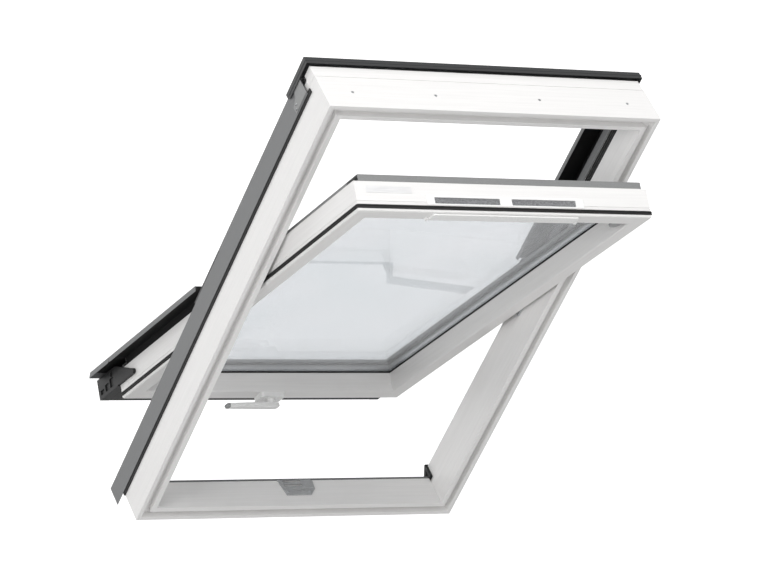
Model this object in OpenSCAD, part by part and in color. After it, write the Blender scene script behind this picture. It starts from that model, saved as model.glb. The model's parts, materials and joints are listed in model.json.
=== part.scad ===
// Centre-pivot roof window: a frame for a pitched roof, and a glazed sash
// that turns about two side hinges. Lengths are millimetres.
//
// Frame axes used below: x across the window, v up the roof slope from the
// frame's lower edge, n square to the roof and outwards from the room face.
// Sash axes: x, s up the sash from the pivot, m outwards from the pivot.

/* [Window] */
// Width over the frame
window_w = 780; // [550:1:1340]
// Length over the frame, up the slope
window_h = 1178; // [978:1:1600]
// Pitch of the roof
roof_pitch = 45; // [20:1:75]
// How far the sash stands open
open_angle = 25; // [0:1:60]
// Height of the pivot above the frame's room face
pivot_n = 113; // [108:0.5:116]

/* [Frame timber] */
// Thickness of a jamb
jamb_t = 36.5; // [34:0.5:60]
// Thickness of the top rail
head_t = 34; // [32:0.5:60]
// Thickness of the sill
sill_t = 37; // [34:0.5:60]
// Depth of the jambs
frame_d = 106; // [104:0.5:108]
// Depth of the sill
sill_d = 74; // [66:0.5:76]
// Height where the side faces are set back for their seals
seal_seat_n = 72; // [66:0.5:75]
// How far they are set back
face_step = 1.2; // [0.6:0.1:2]
// Height of the joint under the top rail's upper bar
head_bar_n = 88; // [84:0.5:96]
// Depth of the top rail with that bar
head_d = 118; // [114:0.5:120]
// Distance of the lining groove from the outer faces
groove_edge = 9; // [6:0.5:12]
// Width of the lining groove
groove_w = 16; // [10:0.5:18]
// Depth of the lining groove
groove_d = 15; // [8:0.5:20]
// Height of the seal's shoulder in the reveal
shoulder_n = 62.5; // [56:0.5:66]
// Depth of the seal's shoulder into the jamb
shoulder_w = 6.5; // [5:0.5:10]

/* [Sash timber] */
// Gap between the jambs and the sash
sash_gap = 8.5; // [8:0.5:14]
// Gap between the sill and the sash
sash_end_gap = 9.5; // [9:0.5:20]
// Distance from the pivot to the sash's room face
sash_face = 57; // [54:0.5:60]
// Distance from the pivot to the outer shoulder of the timber
sash_shoulder = 6; // [5.5:0.5:8]
// Width of a stile
stile_w = 35; // [30:0.5:60]
// Width of the sash's top rail
top_rail_w = 36.5; // [36:0.5:60]
// Width of the sash's bottom rail
bottom_rail_w = 45.5; // [42:0.5:70]
// Chamfer on the timber's visible edges
edge_chamfer = 1.5; // [0.5:0.1:3]

/* [Glazing] */
// Thickness of each pane
pane_t = 4; // [3:0.5:6]
// Gap between the panes
cavity_t = 14; // [10:0.5:16]
// How far the panes run into the rebate
glass_cover = 12; // [8:0.5:14]
// Thickness of the inner glazing seal
glazing_seal_t = 4; // [2:0.5:5]
// Distance from the pivot to the inner face of the glass
glass_m = 10; // [8:0.5:14]
// Free edge between the glass and the timber
glass_edge_gap = 2; // [1:0.5:4]

/* [Covers] */
// Thickness of the sheet
sheet_t = 1.2; // [0.8:0.1:2]
// Outer height of the side cladding
cladding_n = 126; // [120:0.5:128]
// Lower edge of the side cladding
cladding_low_n = 78; // [74:0.5:84]
// How far the side cladding stands off the frame
cladding_off = 4.5; // [4:0.5:8]
// How far the side cladding runs past the sill
cladding_tail = 35; // [10:1:60]
// Top of the hood
hood_n = 137; // [136.5:0.5:142]
// Depth of the hood's skirt
hood_skirt = 18; // [16:0.5:28]
// How far the hood reaches past the frame's upper end
hood_front = 7; // [4:0.5:12]
// Length of the hood down the slope
hood_l = 101; // [80:1:140]
// Height of the side covers above the frame's room face
upper_cover_n = 143; // [141:0.5:146]
// Distance from the pivot up to the upper side covers
cover_gap_up = 68; // [66:1:90]
// Distance from the pivot down to the lower side covers
cover_gap_down = 90; // [88:1:130]
// Outer reach of the lower covers from the window's middle, inside the cladding
lower_cover_inset = 13; // [10:0.5:16]
// Height of the lower covers above the pivot
lower_cover_m = 29.5; // [27:0.5:32]
// Depth of the covers' outer lips
cover_lip = 11; // [6:0.5:12]
// How far the bottom cover runs past the sash timber
bottom_cover_l = 80; // [60:1:100]

/* [Vent] */
// Length of the filter housing
vent_l = 370; // [250:1:400]
// Length of the flap on the room face
flap_l = 344; // [220:1:380]
// Width of the flap
flap_w = 27; // [24:0.5:30]

/* [Lock] */
// Where the handle and the striker sit across the window
lock_x = 5; // [-40:1:40]
// Width of the bolt
bolt_w = 38; // [24:1:40]
// Thickness of the bolt
bolt_t = 2.2; // [1.5:0.1:2.6]
// Travel of the bolt
bolt_travel = 14; // [10:0.5:14]
// Reach of the lever from its spindle
lever_l = 115; // [80:1:130]

/* [Hinges] */
// Radius of the hinge pins
pin_r = 5; // [4:0.1:5.4]
// Running clearance of the pins
pin_clear = 0.06; // [0.03:0.01:0.1]

/* [Hidden] */

$fn = 48;
eps = 0.01;
LEFT = -1;
RIGHT = 1;

half_w = window_w / 2;
pivot_v = window_h / 2;
reveal_x = half_w - jamb_t;
reveal_top = window_h - head_t;
head_seal_room = 3;
sash_x = reveal_x - sash_gap;
sash_s = window_h / 2 - sash_end_gap - max(sill_t, head_t + head_seal_room);
light_x = sash_x - stile_w;
light_top = sash_s - top_rail_w;
light_low = sash_s - bottom_rail_w;
origin_n = sill_d / 2;
sash_seal_out = 3;

white = [0.93, 0.93, 0.92];
grey = [0.45, 0.46, 0.47];
dark = [0.22, 0.23, 0.24];
black = [0.07, 0.07, 0.07];
steel = [0.7, 0.71, 0.73];

// ---- placing -------------------------------------------------------------

// Lay the flat frame on the roof slope, with the middle of the sill's lower
// face at the origin
module on_roof() {
    rotate([-roof_pitch, 0, 0]) translate([0, 0, -origin_n]) children();
}

// Turn the flat sash about its pivot
module on_sash() {
    on_roof() translate([0, -pivot_v, pivot_n]) rotate([open_angle, 0, 0]) children();
}

// Outline in x and n (or m), drawn out along v (or s)
module up_slope(from, to) {
    translate([0, -from, 0]) rotate([90, 0, 0]) linear_extrude(to - from) children();
}

// Outline in v and n (or s and m), drawn out along x
module across(from, to) {
    translate([to, 0, 0]) rotate([90, 0, -90]) linear_extrude(to - from) children();
}

// Outline in x and v (or s), drawn out along n (or m)
module outwards(from, to) {
    translate([0, 0, to]) rotate([180, 0, 0]) linear_extrude(to - from) children();
}

// Block between two corners given as [x, v, n]
module block(low, high) {
    outwards(low[2], high[2]) translate([low[0], low[1]]) square([high[0] - low[0], high[1] - low[1]]);
}

// Cylinder along x, v or n
module rod_x(at, r, l) {
    translate([at[0], -at[1], at[2]]) rotate([0, 90, 0]) cylinder(r = r, h = l);
}
module rod_v(at, r, l) {
    translate([at[0], -at[1], at[2]]) rotate([90, 0, 0]) cylinder(r = r, h = l);
}
module rod_n(at, r, l) {
    translate([at[0], -at[1], at[2]]) cylinder(r = r, h = l);
}

// Mirror a right-hand piece for the left side
module side(hand) {
    if (hand == LEFT) mirror([1, 0, 0]) children();
    else children();
}

// Rectangular ring between two nested outlines, each [x, low, high]
module ring_2d(outer, inner) {
    difference() {
        translate([-outer[0], outer[1]]) square([2 * outer[0], outer[2] - outer[1]]);
        translate([-inner[0], inner[1]]) square([2 * inner[0], inner[2] - inner[1]]);
    }
}

// ---- frame timber --------------------------------------------------------

mitre = 90;
jamb_foot = sill_t + 7;
head_bar_v = reveal_top + shoulder_w;
head_bar_inset = 0.6;
head_bar_gap = 1.6;
side_seal_top = window_h - 28;

module mitre_side_2d() {
    polygon([[half_w, 0], [half_w, window_h], [half_w - mitre, window_h - mitre], [half_w - mitre, mitre]]);
}
module mitre_top_2d() {
    polygon([[-half_w, window_h], [half_w, window_h],
             [half_w - mitre, window_h - mitre], [mitre - half_w, window_h - mitre]]);
}
module mitre_sill_2d() {
    polygon([[-half_w, 0], [half_w, 0], [half_w - mitre, mitre], [mitre - half_w, mitre]]);
}

// Groove round the room face that takes the lining boards
module lining_groove() {
    outer = groove_edge;
    inner = groove_edge + groove_w;
    outwards(-1, groove_d)
        ring_2d([half_w - outer, outer, window_h - outer], [half_w - inner, inner, window_h - inner]);
}

// Jambs and top rail as one ring, before the mitres part them
module frame_blank() {
    difference() {
        outwards(0, frame_d) ring_2d([half_w, 0, window_h], [reveal_x, sill_t, reveal_top]);
        lining_groove();
        // shoulder for the seal
        outwards(shoulder_n, frame_d + 1)
            ring_2d([reveal_x + shoulder_w, sill_t - shoulder_w, head_bar_v],
                    [reveal_x - 1, sill_t + 1, reveal_top - 1]);
    }
}

// Set-back of a side face for its seal
module seal_seat() {
    block([half_w - face_step, -1, seal_seat_n], [half_w + 1, side_seal_top, frame_d + 1]);
}

module jamb(hand) {
    color(white) on_roof() side(hand) difference() {
        intersection() {
            frame_blank();
            union() {
                outwards(-1, head_bar_n) mitre_side_2d();
                block([reveal_x, 0, head_bar_n], [half_w, head_bar_v, frame_d]);
            }
        }
        block([0, -1, sill_d], [half_w + 1, jamb_foot, frame_d + 2]);
        seal_seat();
        hinge_screw_holes();
        if (hand == RIGHT) bush_seat();
    }
}

module frame_jamb_left() jamb(LEFT);
module frame_jamb_right() jamb(RIGHT);

module head_bar(inset, low, high) {
    block([inset - half_w, head_bar_v, low], [half_w - inset, window_h - inset, high]);
}

// Top rail: mitred to the jambs below, with a full-width bar above their ends
module frame_top_rail() {
    color(white) on_roof() difference() {
        union() {
            intersection() {
                frame_blank();
                outwards(-1, head_bar_n) mitre_top_2d();
            }
            // shadow gap, then the bar
            head_bar(head_bar_inset + 3, head_bar_n, head_bar_n + head_bar_gap + eps);
            head_bar(head_bar_inset, head_bar_n + head_bar_gap, head_d);
        }
        for (x = head_screw_xs) head_screw(x, screw_pilot);
    }
}

// Sill: lower than the jambs, because the sash's bottom closes over it
module frame_sill() {
    color(white) on_roof() difference() {
        intersection() {
            outwards(0, sill_d) ring_2d([half_w, 0, window_h], [reveal_x, sill_t, reveal_top]);
            outwards(-1, sill_d + 1) mitre_sill_2d();
        }
        lining_groove();
        for (hand = [LEFT, RIGHT]) side(hand) seal_seat();
        for (n = striker_slots) striker_pocket(n, 0);
        for (x = striker_screw_xs)
            rod_v([x, sill_t - striker_screw_l - 1, striker_screw_n], 1.55, striker_screw_l + 2);
    }
}

// ---- frame seals and cladding -------------------------------------------

seal_top_n = shoulder_n + 17;
hinge_half = 36;
above_hinge_v = pivot_v + hinge_half + 1;

module seal_section_2d() {
    polygon([[reveal_x + shoulder_w, shoulder_n], [reveal_x + 1, shoulder_n], [reveal_x - 1, shoulder_n + 7],
             [reveal_x + 1, seal_top_n - 1], [reveal_x + shoulder_w, seal_top_n]]);
}
module head_seal_section_2d() {
    polygon([[head_bar_v, shoulder_n], [reveal_top + 1, shoulder_n], [reveal_top - 1, shoulder_n + 7],
             [reveal_top + 1, seal_top_n - 1], [head_bar_v, seal_top_n]]);
}

// Seal in the reveal: up both jambs from the hinges, and across the head
module frame_seal() {
    color(black) on_roof() difference() {
        union() {
            for (hand = [LEFT, RIGHT]) side(hand) up_slope(above_hinge_v, head_bar_v) seal_section_2d();
            across(-reveal_x - shoulder_w, reveal_x + shoulder_w) head_seal_section_2d();
        }
        bush_seat();
    }
}

// Metal edge on the sill that the sash's bottom closes over
sill_cladding_h = 6;
module sill_cladding() {
    top = sill_d + sill_cladding_h;
    color(grey) on_roof() across(-reveal_x + 0.5, reveal_x - 0.5)
        polygon([[sill_t, sill_d], [sill_t, top], [2, top], [2, sill_d], [2 + sheet_t, sill_d],
                 [2 + sheet_t, top - sheet_t], [sill_t - sheet_t, top - sheet_t], [sill_t - sheet_t, sill_d]]);
}

// Angle over the inner edge of a frame member, above the seal: the edge, the
// far side of its flange, and the height of the timber under it
reveal_leg = 19;
module reveal_angle_2d(edge, outer, top) {
    foot = top - reveal_leg;
    polygon([[edge, foot], [edge, top], [outer, top], [outer, top + sheet_t],
             [edge - sheet_t, top + sheet_t], [edge - sheet_t, foot]]);
}

module reveal_cladding(hand) {
    color(grey) on_roof() side(hand) up_slope(above_hinge_v, head_bar_v - sheet_t)
        reveal_angle_2d(reveal_x + shoulder_w, cladding_foot_x - 0.5, frame_d);
}
module reveal_cladding_left() reveal_cladding(LEFT);
module reveal_cladding_right() reveal_cladding(RIGHT);

module head_cladding() {
    span = reveal_x + shoulder_w - sheet_t - 0.3;
    color(grey) on_roof() across(-span, span)
        reveal_angle_2d(head_bar_v, window_h - head_bar_inset, head_d);
}

// Moulded plug that closes the end of a jamb over the sill
plug_x = reveal_x + 0.5;
module sill_plug(hand) {
    back = jamb_foot - 0.2;
    color(dark) on_roof() side(hand) difference() {
        across(plug_x, cladding_foot_x)
            polygon([[6, sill_d], [back, sill_d], [back, frame_d + 5], [back - 3, frame_d + 5],
                     [8, sill_d + 8]]);
        // sunk panel in the inner face
        across(plug_x - 1, plug_x + 3)
            polygon([[back - 24, sill_d + 6], [back - 6, sill_d + 6], [back - 6, frame_d - 8]]);
    }
}
module sill_plug_left() sill_plug(LEFT);
module sill_plug_right() sill_plug(RIGHT);

// Compressed seal between the side face and the cladding
side_seal_t = 3;
module side_seal(hand) {
    color(black) on_roof() side(hand)
        block([half_w - face_step, 0, seal_seat_n], [half_w + side_seal_t, side_seal_top, cladding_low_n + 5]);
}
module side_seal_left() side_seal(LEFT);
module side_seal_right() side_seal(RIGHT);

// Side cladding: a sheet down the side, folded in over the jamb
cladding_x = half_w + cladding_off;
cladding_foot_x = half_w - face_step - 7.3;
cladding_top_v = window_h - 38;
module side_cladding(hand) {
    inner = cladding_x - sheet_t;
    fold = cladding_n - sheet_t;
    color(grey) on_roof() side(hand) union() {
        up_slope(jamb_foot, cladding_top_v)
            polygon([[cladding_x, cladding_low_n], [cladding_x, cladding_n], [cladding_foot_x, cladding_n],
                     [cladding_foot_x, frame_d], [cladding_foot_x + sheet_t, frame_d],
                     [cladding_foot_x + sheet_t, fold], [inner, fold], [inner, cladding_low_n]]);
        up_slope(-cladding_tail, jamb_foot)
            polygon([[cladding_x, cladding_low_n], [cladding_x, cladding_n], [cladding_foot_x, cladding_n],
                     [cladding_foot_x, fold], [inner, fold], [inner, cladding_low_n]]);
        // closed lower end
        block([half_w + 1, -cladding_tail, cladding_low_n + 4],
              [inner + eps, -cladding_tail + sheet_t, cladding_n - eps]);
    }
}
module side_cladding_left() side_cladding(LEFT);
module side_cladding_right() side_cladding(RIGHT);

// Bracket that closes the upper end of the cladding
bracket_screws_at = [[-44, 95], [-50, 87]];
module cladding_bracket(hand) {
    top = cladding_top_v;
    color([0.55, 0.55, 0.56]) on_roof() side(hand) difference() {
        across(cladding_x, cladding_x + sheet_t)
            polygon([[top - 56, cladding_low_n + 4], [top - 56, cladding_low_n + 20], [top - 36, 108],
                     [top - 33, cladding_n], [top, cladding_n], [top, cladding_low_n + 4]]);
        for (p = bracket_screws_at) rod_x([cladding_x - 1, top + p[0], p[1]], 1.3, 4);
    }
}
module cladding_bracket_left() cladding_bracket(LEFT);
module cladding_bracket_right() cladding_bracket(RIGHT);

module bracket_screw(p) {
    v = cladding_top_v + p[0];
    rod_x([cladding_x + sheet_t, v, p[1]], 2.4, 1);
    rod_x([cladding_x, v, p[1]], 1.2, sheet_t + eps);
}

// Hood over the upper end
hood_x = cladding_x + 3.5;
hood_low_v = window_h + hood_front - hood_l;
hood_rib = 0.8;
module hood() {
    front = window_h + hood_front;
    low = hood_n - hood_skirt;
    rib = low + 7;
    color(dark) on_roof() difference() {
        union() {
            block([-hood_x, hood_low_v, low], [hood_x, front, hood_n]);
            block([-hood_x - hood_rib, hood_low_v + 6, rib], [hood_x + hood_rib, front + hood_rib, rib + 3]);
        }
        block([-hood_x + sheet_t, hood_low_v - 1, low - 1],
              [hood_x - sheet_t, front - sheet_t, hood_n - sheet_t]);
        // rounded lower corners of the side skirts
        difference() {
            block([-hood_x - 2, hood_low_v - 1, low - 1], [hood_x + 2, hood_low_v + 9, low + 9]);
            rod_x([-hood_x - 3, hood_low_v + 9, low + 9], 9, 2 * hood_x + 6);
        }
    }
}

// Upper side cover, fixed to the frame over the gap beside the sash
cover_inner_x = sash_x - 11;
upper_cover_x = cladding_foot_x + 4;
module cover_2d(inner) {
    n = upper_cover_n;
    low = n - cover_lip + 1;
    polygon([[inner, low], [inner, n], [upper_cover_x, n], [upper_cover_x, cladding_n],
             [upper_cover_x - sheet_t, cladding_n], [upper_cover_x - sheet_t, n - sheet_t],
             [inner + sheet_t, n - sheet_t], [inner + sheet_t, low]]);
}
module upper_cover(hand) {
    color(grey) on_roof() side(hand) up_slope(pivot_v + cover_gap_up, hood_low_v - 0.5) cover_2d(cover_inner_x);
}
module upper_cover_left() upper_cover(LEFT);
module upper_cover_right() upper_cover(RIGHT);

// Narrower cover over the hinge, clear of the turning sash
hinge_cover_x = sash_x + sash_seal_out + 1.5;
hinge_cover_joint = 1.5;
hinge_cover_down = cover_gap_down - 7;
module hinge_cover(hand) {
    color(dark) on_roof() side(hand)
        up_slope(pivot_v - hinge_cover_down, pivot_v + cover_gap_up - hinge_cover_joint)
            cover_2d(hinge_cover_x);
}
module hinge_cover_left() hinge_cover(LEFT);
module hinge_cover_right() hinge_cover(RIGHT);

// Nails through the top rail into the jambs and the lining
head_screw_xs = [-0.412 * window_w, -0.167 * window_w, 0.147 * window_w, 0.42 * window_w];
head_screw_n = 44;
screw_pilot = 0.05;
module head_screw(x, clear) {
    rod_v([x, window_h - 1.5 - clear, head_screw_n], 3.2 + clear, 2 + clear);
    rod_v([x, window_h - 26 - clear, head_screw_n], 1.6 + clear, 26);
}
module head_screws() {
    color(steel) on_roof() for (x = head_screw_xs) head_screw(x, 0);
}

// ---- hinges --------------------------------------------------------------

hinge_plate_t = 4;
hinge_arm_r = 17;
hinge_boss_r = 14;
hinge_screws_at = [[-22, 72.5], [22, 72.5]];
pin_end_x = reveal_x + 3.5;

module hinge_screw(p, clear) {
    rod_x([reveal_x - hinge_plate_t + 0.5 - clear, pivot_v + p[0], p[1]], 3.4 + clear, 3.5 + clear);
    rod_x([reveal_x - 1, pivot_v + p[0], p[1]], 1.7 + clear, 24 + clear);
}
module hinge_screw_holes() {
    for (p = hinge_screws_at) hinge_screw(p, screw_pilot);
}

// Frame half of the hinge: a casting in the jamb's rebate, with the pin's bush
module frame_hinge(hand) {
    inner = reveal_x - hinge_plate_t;
    foot_top = shoulder_n + 20;
    color(steel) on_roof() side(hand) difference() {
        union() {
            block([inner, pivot_v - hinge_half, shoulder_n],
                  [reveal_x + shoulder_w, pivot_v + hinge_half, foot_top]);
            across(inner, reveal_x)
                polygon([[pivot_v - hinge_half, foot_top - 1], [pivot_v + hinge_half, foot_top - 1],
                         [pivot_v + hinge_arm_r, pivot_n], [pivot_v - hinge_arm_r, pivot_n]]);
            rod_x([inner, pivot_v, pivot_n], hinge_arm_r, hinge_plate_t);
            rod_x([inner, pivot_v, pivot_n], hinge_boss_r, pin_end_x - inner + 0.5);
        }
        rod_x([inner - 1, pivot_v, pivot_n], pin_r + pin_clear, 20);
        hinge_screw_holes();
    }
}
module frame_hinge_left() frame_hinge(LEFT);
module frame_hinge_right() frame_hinge(RIGHT);

// Sash half of the hinge: plate let into the stile, with the pin
sash_plate_t = 4;
sash_plate_s = 34;
sash_plate_low = -34;
sash_plate_high = 12;
sash_screws_at = [[-25, -24], [25, -24]];
module sash_plate_2d(grow) {
    translate([-sash_plate_s - grow, sash_plate_low - grow])
        square([2 * (sash_plate_s + grow), sash_plate_high - sash_plate_low + 2 * grow]);
}
module sash_screw(p, clear) {
    rod_x([sash_x - 3.2 - clear, p[0], p[1]], 3.4 + clear, 3.2 + clear);
    rod_x([sash_x - 22 - clear, p[0], p[1]], 1.7 + clear, 20);
}
module sash_hinge(hand) {
    color(steel) on_sash() side(hand) difference() {
        union() {
            across(sash_x - sash_plate_t, sash_x) sash_plate_2d(0);
            rod_x([sash_x - 20, 0, 0], pin_r, pin_end_x - sash_x + 20);
            rod_x([sash_x - eps, 0, 0], 9, 3);
        }
        for (p = sash_screws_at) sash_screw(p, screw_pilot);
    }
}
module sash_hinge_left() sash_hinge(LEFT);
module sash_hinge_right() sash_hinge(RIGHT);

module sash_hinge_screws() {
    color(steel) on_sash() for (hand = [LEFT, RIGHT]) side(hand) for (p = sash_screws_at) sash_screw(p, 0);
}

// ---- sash timber ---------------------------------------------------------

rebate_m = -glass_m - glazing_seal_t;
glass_x = light_x + glass_cover;
glass_top = light_top + glass_cover;
glass_low = light_low + glass_cover;
glass_out = -glass_m + 2 * pane_t + cavity_t;
seal_low_m = -51;
seal_high_m = -43;
seal_groove = 6;

module sash_mitre_side_2d() {
    polygon([[sash_x, -sash_s], [sash_x, sash_s], [sash_x - mitre, sash_s - mitre],
             [sash_x - mitre, mitre - sash_s]]);
}
module sash_mitre_end_2d(up) {
    polygon([[-sash_x, up * sash_s], [sash_x, up * sash_s], [sash_x - mitre, up * (sash_s - mitre)],
             [mitre - sash_x, up * (sash_s - mitre)]]);
}

module sash_blank() {
    c = edge_chamfer;
    difference() {
        union() {
            outwards(-sash_face + c, sash_shoulder)
                ring_2d([sash_x, -sash_s, sash_s], [light_x, -light_low, light_top]);
            outwards(-sash_face, -sash_face + c + eps)
                ring_2d([sash_x - c, c - sash_s, sash_s - c], [light_x + c, -light_low - c, light_top + c]);
        }
        // rebate for the glass
        outwards(rebate_m, sash_shoulder + 1)
            ring_2d([glass_x + glass_edge_gap, -glass_low - glass_edge_gap, glass_top + glass_edge_gap],
                    [light_x - 1, 1 - light_low, light_top - 1]);
        // groove for the seal round the outside
        outwards(seal_low_m, seal_high_m)
            ring_2d([sash_x + 1, -sash_s - 1, sash_s + 1],
                    [sash_x - seal_groove, seal_groove - sash_s, sash_s - seal_groove]);
        // shadow line round the outside
        outwards(-36.5, -35.2)
            ring_2d([sash_x + 1, -sash_s - 1, sash_s + 1], [sash_x - 1, 1 - sash_s, sash_s - 1]);
    }
}

module sash_stile(hand) {
    color(white) on_sash() side(hand) difference() {
        intersection() {
            sash_blank();
            outwards(-sash_face - 1, sash_shoulder + 1) sash_mitre_side_2d();
        }
        across(sash_x - sash_plate_t - 0.2, sash_x + 1) sash_plate_2d(0.2);
        rod_x([sash_x - 21, 0, 0], pin_r + 0.2, 22);
        for (p = sash_screws_at) sash_screw(p, screw_pilot);
        if (hand == RIGHT) barrel_hole();
    }
}
module sash_stile_left() sash_stile(LEFT);
module sash_stile_right() sash_stile(RIGHT);

module sash_top_rail() {
    color(white) on_sash() difference() {
        intersection() {
            sash_blank();
            outwards(-sash_face - 1, sash_shoulder + 1) sash_mitre_end_2d(1);
        }
        vent_pocket();
        flap_slot();
        barrel_hole();
        barrel_slot();
    }
}

module sash_bottom_rail() {
    color(white) on_sash() difference() {
        intersection() {
            sash_blank();
            outwards(-sash_face - 1, sash_shoulder + 1) sash_mitre_end_2d(-1);
        }
        bolt_channel();
        rod_n([lock_x, handle_s, -sash_face - 1], spindle_r + 0.4, spindle_deep + 1);
        for (x = base_screw_xs) rod_n([lock_x + x, handle_s, -sash_face - 1], 1.5, 13);
    }
}

// Double-lipped seal in the outer groove
module sash_seal() {
    out = sash_seal_out;
    mid = (seal_low_m + seal_high_m) / 2;
    color(black) on_sash() difference() {
        outwards(seal_low_m, seal_high_m)
            ring_2d([sash_x + out, -sash_s - out, sash_s + out],
                    [sash_x - seal_groove, seal_groove - sash_s, sash_s - seal_groove]);
        outwards(mid - 1, mid + 1)
            ring_2d([sash_x + out + 1, -sash_s - out - 1, sash_s + out + 1],
                    [sash_x + 1, -sash_s - 1, sash_s + 1]);
        hinge_clear();
        barrel_hole();
    }
}

// The seal stops at the hinges
module hinge_clear() {
    for (hand = [LEFT, RIGHT]) side(hand)
        block([sash_x - seal_groove - 1, -hinge_half - 2, seal_low_m - 1],
              [sash_x + 10, hinge_half + 2, seal_high_m + 1]);
}

// ---- glazing -------------------------------------------------------------

module pane(from) {
    outwards(from, from + pane_t)
        translate([-glass_x, -glass_low]) square([2 * glass_x, glass_low + glass_top]);
}
module inner_pane() {
    color([0.8, 0.88, 0.9, 0.4]) on_sash() pane(-glass_m);
}
module outer_pane() {
    color([0.8, 0.88, 0.9, 0.4]) on_sash() pane(glass_out - pane_t);
}

spacer_w = 8;
spacer_edge = 3;
module pane_spacer() {
    e = spacer_edge;
    w = spacer_edge + spacer_w;
    color(steel) on_sash() outwards(-glass_m + pane_t, glass_out - pane_t)
        ring_2d([glass_x - e, e - glass_low, glass_top - e], [glass_x - w, w - glass_low, glass_top - w]);
}

module glazing_seal() {
    color(black) on_sash() outwards(rebate_m, -glass_m)
        ring_2d([glass_x, -glass_low, glass_top], [light_x, -light_low, light_top]);
}

// Trim over the glass edge: outer height, and how far it laps the glass
trim_m = 20.5;
trim_x = sash_x - 12;
trim_end = sash_s;
trim_lap = 22;
outer_seal_t = 2;

module glass_outer_seal() {
    color(black) on_sash() outwards(glass_out, glass_out + outer_seal_t)
        ring_2d([glass_x, -glass_low, glass_top],
                [glass_x - trim_lap, trim_lap - glass_low, glass_top - trim_lap]);
}

// Section of a trim: u is the distance outwards from the middle of the sash
module trim_2d(lap, edge) {
    foot = glass_out + outer_seal_t;
    polygon([[lap, foot], [lap, trim_m], [edge, trim_m], [edge, sash_shoulder], [edge - sheet_t, sash_shoulder],
             [edge - sheet_t, trim_m - sheet_t], [lap + sheet_t, trim_m - sheet_t], [lap + sheet_t, foot]]);
}
module trim_side(hand) {
    color(grey) on_sash() side(hand)
        up_slope(-glass_low + trim_lap, glass_top - trim_lap) trim_2d(glass_x - trim_lap, trim_x);
}
module glass_trim_left() trim_side(LEFT);
module glass_trim_right() trim_side(RIGHT);
module glass_trim_top() {
    color(grey) on_sash() across(-trim_x, trim_x) trim_2d(glass_top - trim_lap + 0.3, trim_end);
}
module glass_trim_bottom() {
    color(grey) on_sash() across(-trim_x, trim_x) mirror([1, 0])
        trim_2d(glass_low - trim_lap + 0.3, trim_end);
}

// ---- lower covers and bottom profile --------------------------------------

lower_cover_x = half_w - lower_cover_inset;
bottom_end = sash_s + bottom_cover_l;
bottom_cover_top = sash_s - 24;
module lower_cover(hand) {
    m = lower_cover_m;
    lip = m - cover_lip;
    color(grey) on_sash() side(hand) up_slope(-bottom_cover_top + 0.5, -cover_gap_down)
        polygon([[cover_inner_x, sash_shoulder], [cover_inner_x, m], [lower_cover_x, m], [lower_cover_x, lip],
                 [lower_cover_x - sheet_t, lip], [lower_cover_x - sheet_t, m - sheet_t],
                 [cover_inner_x + sheet_t, m - sheet_t], [cover_inner_x + sheet_t, sash_shoulder]]);
}
module lower_cover_left() lower_cover(LEFT);
module lower_cover_right() lower_cover(RIGHT);

// Tray across the sash's lower end
module bottom_cover() {
    m = lower_cover_m;
    lip = m - cover_lip;
    color(grey) on_sash() difference() {
        across(-lower_cover_x, lower_cover_x)
            polygon([[-bottom_cover_top, trim_m + 0.3], [-bottom_cover_top, m], [-bottom_end + 9, m],
                     [-bottom_end, lip], [-bottom_cover_top - 4, lip], [-bottom_cover_top - 4, trim_m + 0.3]]);
        across(-lower_cover_x + sheet_t, lower_cover_x - sheet_t)
            polygon([[-bottom_cover_top - sheet_t, lip - 1], [-bottom_cover_top - sheet_t, m - sheet_t],
                     [-bottom_end + 10, m - sheet_t], [-bottom_end + 1, lip - 1]]);
        // open to the lower covers at both ends
        for (hand = [LEFT, RIGHT]) side(hand)
            block([cover_inner_x + sheet_t, -bottom_cover_top - 5, lip - 1],
                  [lower_cover_x - sheet_t, -bottom_cover_top + 1, m - sheet_t]);
    }
}

// Gutter-shaped profile under the bottom cover, closed by two moulded caps
profile_x = sash_x - 15;
profile_low = -28;
profile_end = bottom_end + 13;
profile_wall = 2;
module bottom_profile() {
    w = profile_wall;
    top = lower_cover_m - cover_lip - 0.3;
    color(black) on_sash() across(-profile_x, profile_x)
        polygon([[-sash_s, profile_low], [-sash_s, profile_low + w], [-profile_end + w, profile_low + w],
                 [-profile_end + w, top], [-profile_end, top], [-profile_end, profile_low]]);
}

// Cap with an arm that hooks along the stile
cap_x = sash_x + 7;
arm_l = 80;
arm_r = 6;
arm_m = -20;
module end_cap(hand) {
    top = lower_cover_m - cover_lip - 0.3;
    arm_end = arm_l - sash_s - arm_r;
    color(black) on_sash() side(hand) difference() {
        union() {
            across(profile_x, cap_x)
                polygon([[-sash_s, profile_low], [-sash_s, top], [-profile_end, top],
                         [-profile_end, profile_low]]);
            across(sash_x, cap_x)
                polygon([[-sash_s - 1, arm_m - arm_r], [arm_end, arm_m - arm_r], [arm_end, arm_m + arm_r],
                         [-sash_s - 1, top]]);
            rod_x([sash_x, arm_end, arm_m], arm_r, cap_x - sash_x);
        }
        // moulded recesses in the outer face
        for (i = [0 : 2])
            block([cap_x - 3, -profile_end + 10 + i * 24, profile_low + 8],
                  [cap_x + 1, -profile_end + 28 + i * 24, profile_low + 18 + i * 5]);
        rod_x([cap_x - 3, -sash_s - 22, 8], 6, 4);
    }
}
module end_cap_left() end_cap(LEFT);
module end_cap_right() end_cap(RIGHT);

// ---- ventilation ----------------------------------------------------------

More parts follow.
